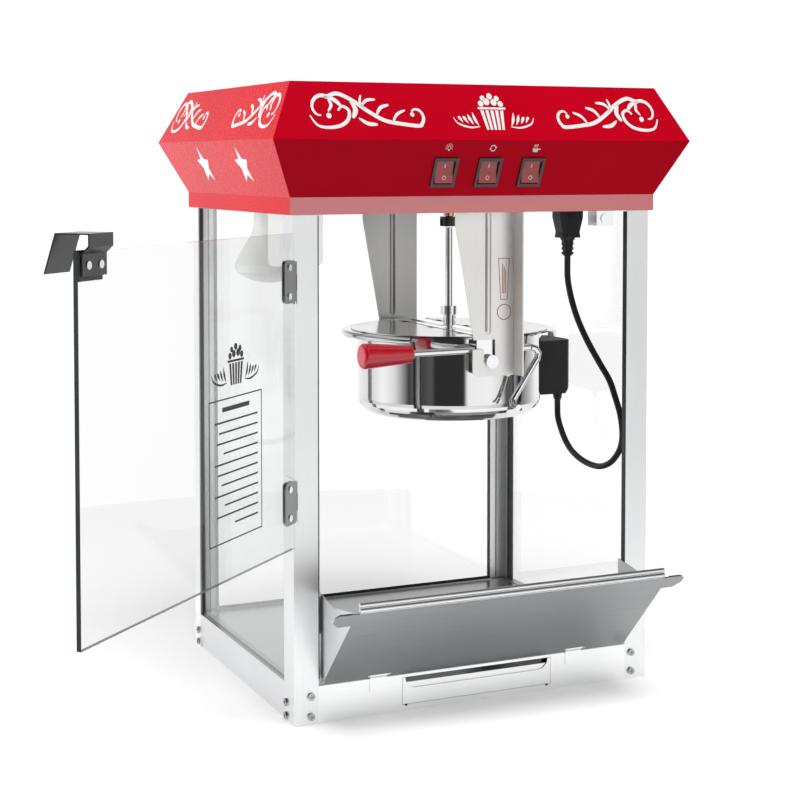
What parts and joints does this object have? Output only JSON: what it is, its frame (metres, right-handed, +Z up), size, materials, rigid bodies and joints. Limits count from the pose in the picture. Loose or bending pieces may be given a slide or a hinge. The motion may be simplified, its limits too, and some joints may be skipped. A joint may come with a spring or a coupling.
{
  "type": "popcorn maker",
  "caption": "Countertop popcorn maker: glass cabinet, hinged door, tilt-out serving flap, crumb drawer, tipping kettle and red canopy with switches.",
  "frame": {"origin": "middle of the cabinet's base, on the standing surface", "axes": "+X to the right along the front, +Y to the back, +Z up"},
  "size_m": [0.7095, 0.608, 0.6136],
  "materials": {
    "satin_steel": "satin",
    "post_steel": "satin",
    "flap_steel": "brushed",
    "polished_steel": "polished",
    "dark_steel": "satin",
    "red_paint": "gloss",
    "clear_glass": "clear",
    "bulb_glass": "frosted",
    "black_rubber": "matt",
    "black_plastic": "matt",
    "white_ceramic": "gloss",
    "brass": "turned",
    "red_grip": "gloss",
    "red_rocker": "translucent gloss",
    "grey_casting": "cast"
  },
  "bodies": {
    "cabinet": {"post_front_left": "post_steel", "post_front_right": "post_steel", "post_rear_left": "post_steel", "post_rear_right": "post_steel", "post_screws": "polished_steel", "base_front_panel": "satin_steel", "base_rail_left": "post_steel", "base_rail_right": "post_steel", "base_rail_rear": "post_steel", "bottom_plate": "satin_steel", "floor_deck": "satin_steel", "drawer_guides": "satin_steel", "pane_left": "clear_glass", "pane_right": "clear_glass", "pane_rear": "clear_glass", "pane_seals": "black_rubber", "door_trims": "black_rubber", "canopy_front": "red_paint", "canopy_rear": "red_paint", "canopy_left": "red_paint", "canopy_right": "red_paint", "top_cover": "red_paint", "ceiling_pan": "satin_steel", "hanger_front": "satin_steel", "hanger_rear": "satin_steel", "gear_motor": "grey_casting", "shaft_bush": "brass", "lamp_socket": "white_ceramic", "flood_bulb": "bulb_glass", "kettle_outlet": "black_plastic", "magnet_catch": "satin_steel", "mains_inlet": "black_plastic", "switch_housings": "black_plastic", "door_hinge_leaves": "satin_steel", "flap_rod": "satin_steel", "kettle_cord": "black_rubber", "kettle_plug": "black_plastic"},
    "door": {"door_glass": "clear_glass", "door_hinge_clamps": "satin_steel", "door_screws": "polished_steel", "door_pull": "dark_steel", "door_pad": "black_rubber"},
    "serving_flap": {"flap": "flap_steel"},
    "drawer": {"crumb_drawer": "satin_steel"},
    "kettle": {"kettle_pan": "polished_steel", "kettle_shell": "polished_steel", "heater": "grey_casting", "lid_bar": "polished_steel", "trunnions": "polished_steel", "tilt_rod": "polished_steel", "handle_grip": "red_grip", "terminal_box": "black_plastic"},
    "left_lid": {"lid_left": "polished_steel"},
    "right_lid": {"lid_right": "polished_steel"},
    "stirrer_set": {"stirrer": "polished_steel", "stirrer_shaft": "polished_steel"},
    "drive": {"drive_collar": "black_plastic"},
    "lamp_rocker": {"rocker_lamp": "red_rocker"},
    "motor_rocker": {"rocker_motor": "red_rocker"},
    "heat_rocker": {"rocker_heat": "red_rocker"}
  },
  "joints": [
    {"name": "door_hinge", "type": "hinge", "parent": "cabinet", "child": "door", "pos_m": [-0.197, -0.1623, 0.32], "axis": [0, 0, 1], "range_deg": [-20, 136.6]},
    {"name": "flap_hinge", "type": "hinge", "parent": "cabinet", "child": "serving_flap", "pos_m": [0, -0.155, 0.04], "axis": [1, 0, 0], "range_deg": [-43.5, 0]},
    {"name": "drawer_slide", "type": "slide", "parent": "cabinet", "child": "drawer", "axis": [0, -1, 0], "range_m": [0, 0.18]},
    {"name": "kettle_tilt", "type": "hinge", "parent": "cabinet", "child": "kettle", "pos_m": [0.0326, 0, 0.335], "axis": [0, -1, 0], "range_deg": [0, 75]},
    {"name": "left_lid_hinge", "type": "hinge", "parent": "kettle", "child": "left_lid", "pos_m": [0.0238, 0, 0.3569], "axis": [0, 1, 0], "range_deg": [0, 90]},
    {"name": "right_lid_hinge", "type": "hinge", "parent": "kettle", "child": "right_lid", "pos_m": [0.0622, 0, 0.3569], "axis": [0, -1, 0], "range_deg": [0, 90]},
    {"name": "drive_spin", "type": "hinge", "parent": "cabinet", "child": "drive", "pos_m": [0.043, 0, 0.48], "axis": [0, 0, 1], "continuous": true},
    {"name": "stirrer_spin", "type": "hinge", "parent": "kettle", "child": "stirrer_set", "pos_m": [0.043, 0, 0.36], "axis": [0, 0, 1], "continuous": true},
    {"name": "lamp_switch", "type": "hinge", "parent": "cabinet", "child": "lamp_rocker", "pos_m": [-0.0455, -0.16888, 0.52887], "axis": [1, 0, 0], "range_deg": [0, 22]},
    {"name": "motor_switch", "type": "hinge", "parent": "cabinet", "child": "motor_rocker", "pos_m": [0.002, -0.16888, 0.52887], "axis": [1, 0, 0], "range_deg": [0, 22]},
    {"name": "heat_switch", "type": "hinge", "parent": "cabinet", "child": "heat_rocker", "pos_m": [0.0495, -0.16888, 0.52887], "axis": [1, 0, 0], "range_deg": [0, 22]}
  ],
  "couplings": [
    {"joint": "drive_spin", "follows": "stirrer_spin", "ratio": 1}
  ]
}
